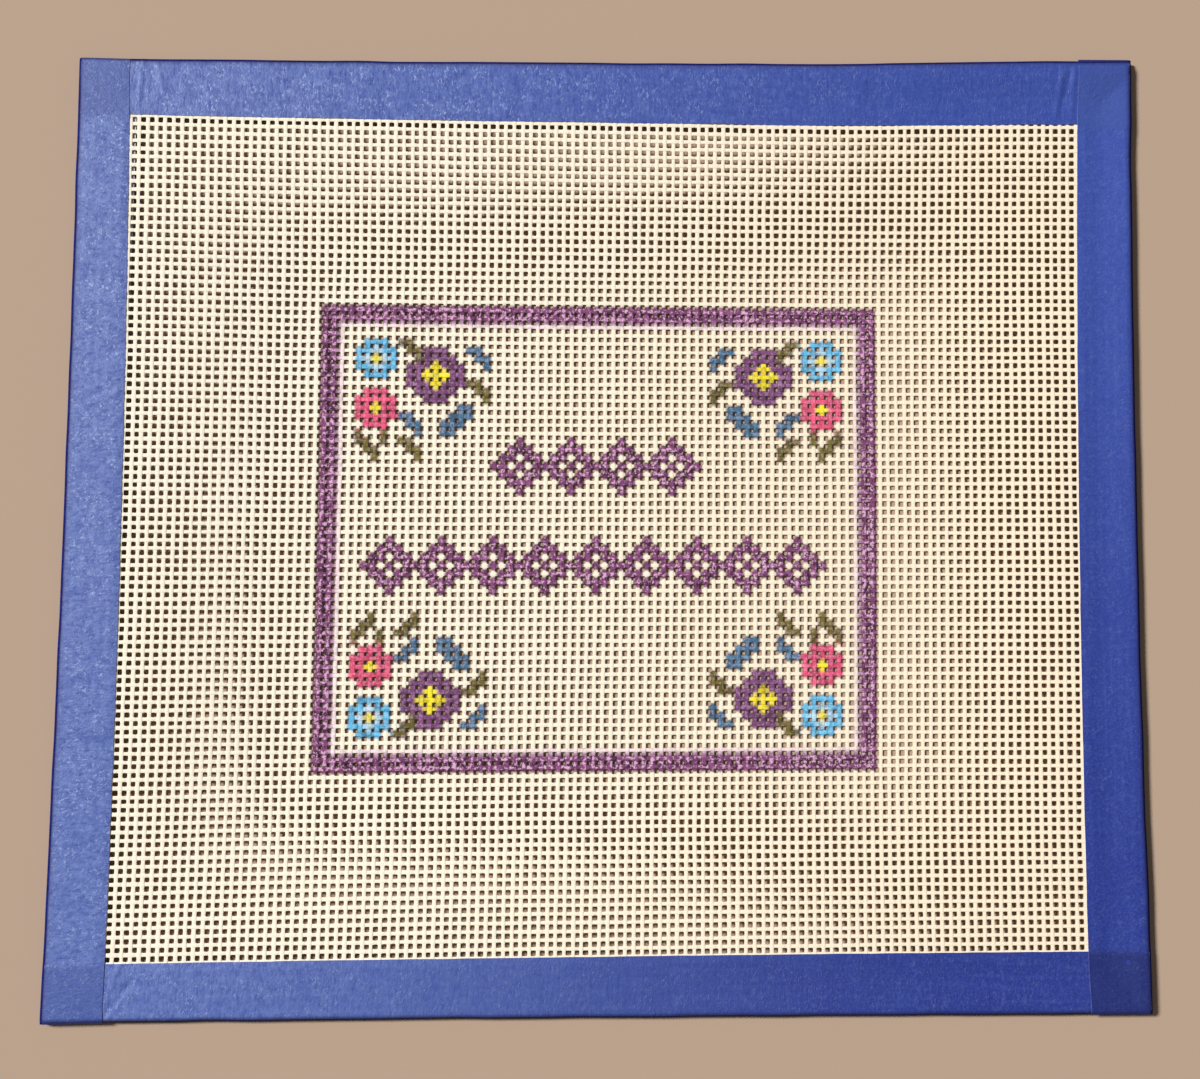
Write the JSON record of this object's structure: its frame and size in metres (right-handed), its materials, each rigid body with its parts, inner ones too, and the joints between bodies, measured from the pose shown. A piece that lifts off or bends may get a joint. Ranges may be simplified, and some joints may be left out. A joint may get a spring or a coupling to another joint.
{
  "type": "needlepoint canvas panel",
  "caption": "Flat square-woven needlepoint canvas, edges bound in folded paper tape, painted with a plain border and flower corners for stitching.",
  "frame": {"origin": "under the middle of the outline, on the plane that the panel lies on", "axes": "+X along the picture's width, +Y up the picture, +Z out of the painted face"},
  "size_m": [0.25, 0.2222, 0.0036],
  "materials": {
    "canvas": "stiff sized cotton in open weave, cream, matt, with matt paint on its threads",
    "tape": "creped paper tape, blue, satin"
  },
  "bodies": {
    "root": {"canvas": "canvas", "tape_bottom": "tape", "tape_left": "tape", "tape_right": "tape", "tape_top": "tape"}
  },
  "joints": []
}
